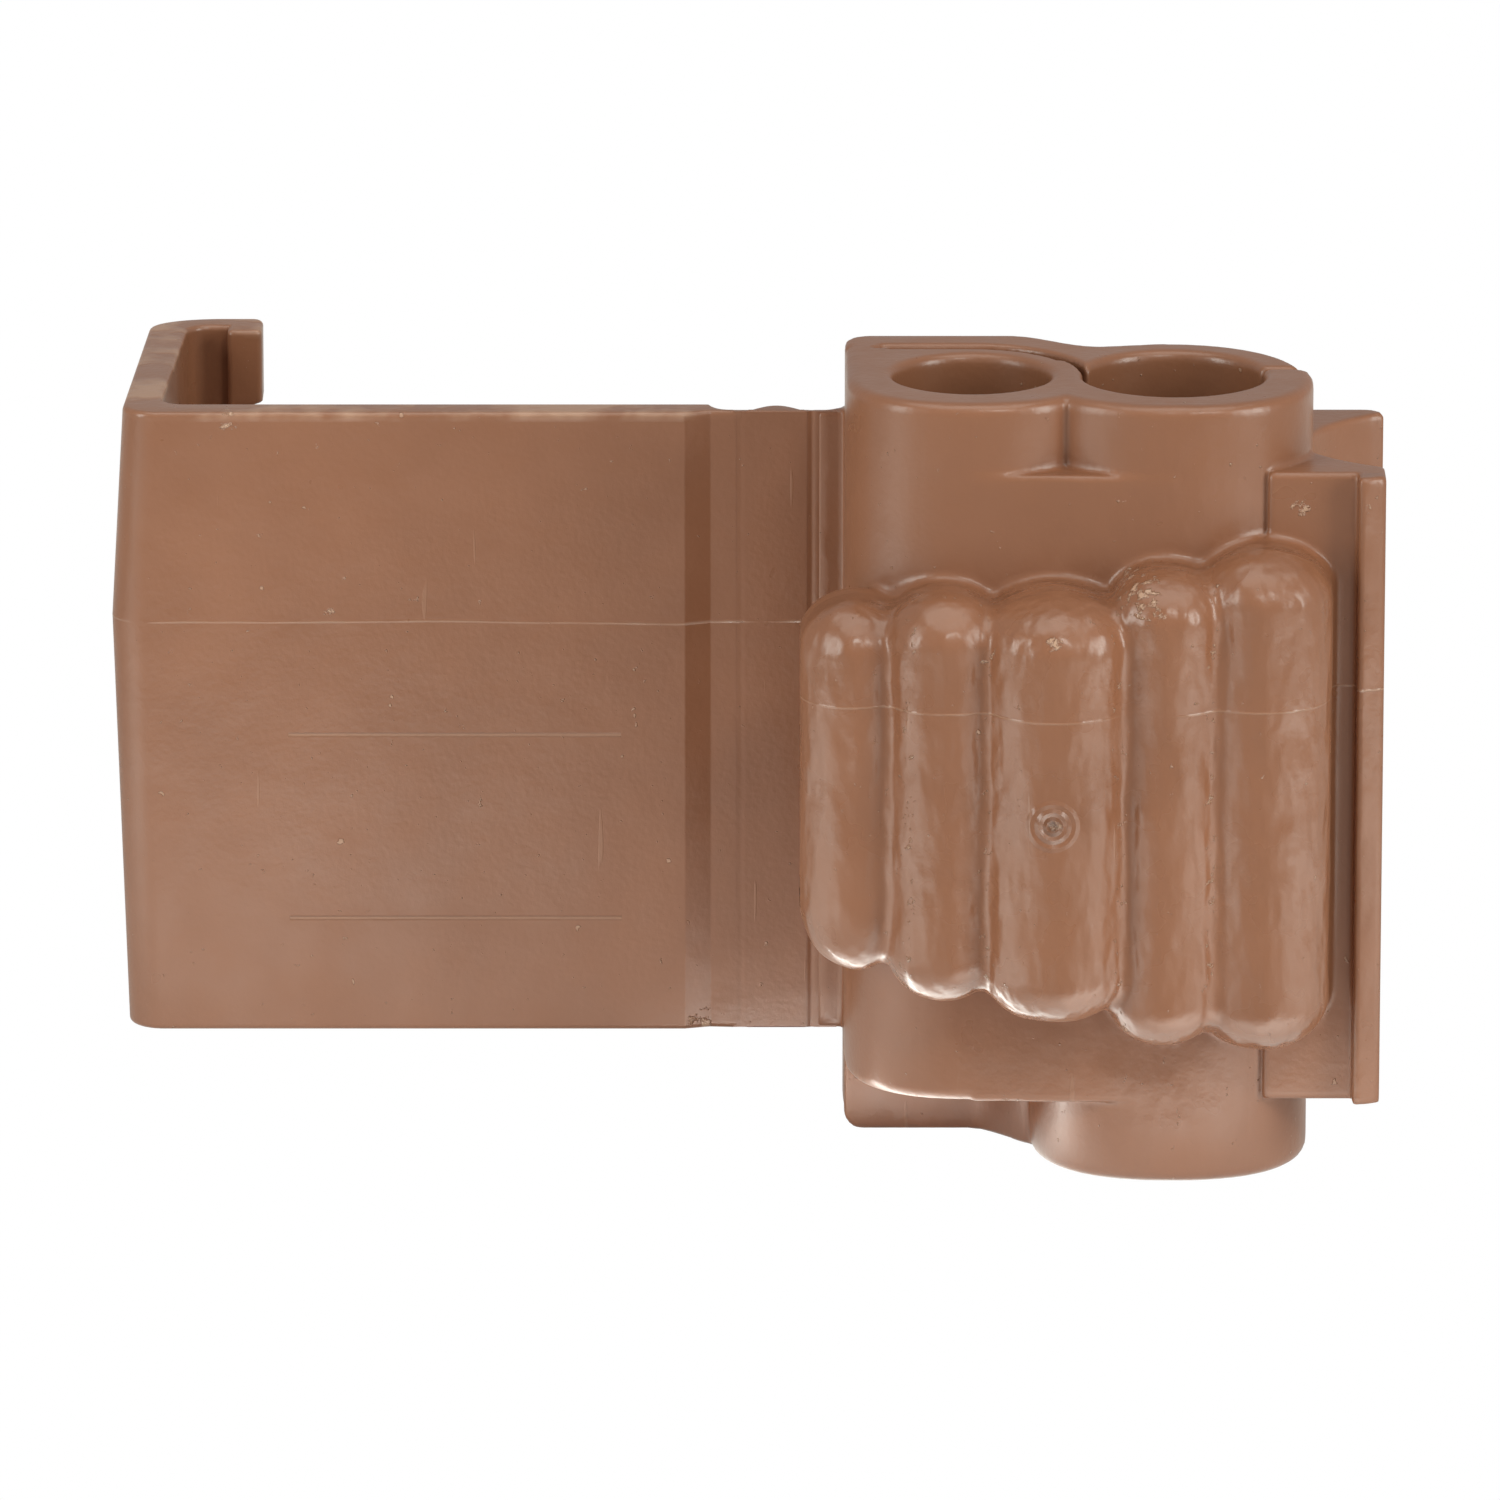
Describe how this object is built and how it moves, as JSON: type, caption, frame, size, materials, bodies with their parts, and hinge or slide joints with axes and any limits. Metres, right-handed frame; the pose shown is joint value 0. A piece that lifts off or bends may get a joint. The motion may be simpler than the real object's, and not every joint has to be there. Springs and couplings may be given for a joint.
{
  "type": "t-tap wire connector",
  "caption": "Open moulded wire tap connector with a through run port, a blind tap port, a hinged latching cover and a U-shaped contact.",
  "frame": {"origin": "middle of the part's outline in X and Y, at the height of the run port's lower end, on which it stands", "axes": "+X from the cover towards the latch lip, +Y from the barrel ribs towards the back where the contact goes in, +Z along the wires towards the open end of the tap port"},
  "size_m": [0.0396, 0.0242, 0.0247],
  "materials": {
    "brown_polypropylene": "satin moulded polypropylene, brown",
    "tinned_brass": "bright tin plate on brass sheet"
  },
  "bodies": {
    "housing": {"housing": "brown_polypropylene"},
    "hinge_web": {"hinge_web": "brown_polypropylene"},
    "cover": {"cover": "brown_polypropylene"},
    "u_contact": {"u_contact": "tinned_brass"}
  },
  "joints": [
    {"name": "web_fold", "type": "hinge", "parent": "housing", "child": "hinge_web", "pos_m": [0.00204, 0, 0.0124], "axis": [0, 0, -1], "range_deg": [0, 93]},
    {"name": "cover_fold", "type": "hinge", "parent": "hinge_web", "child": "cover", "pos_m": [-0.00016, 0, 0.0124], "axis": [0, 0, -1], "range_deg": [0, 87]},
    {"name": "contact_press", "type": "slide", "parent": "housing", "child": "u_contact", "axis": [0, -1, 0], "range_m": [0, 0.006]}
  ],
  "couplings": [
    {"joint": "contact_press", "follows": "cover_fold", "m_per_rad": 0.003951}
  ]
}
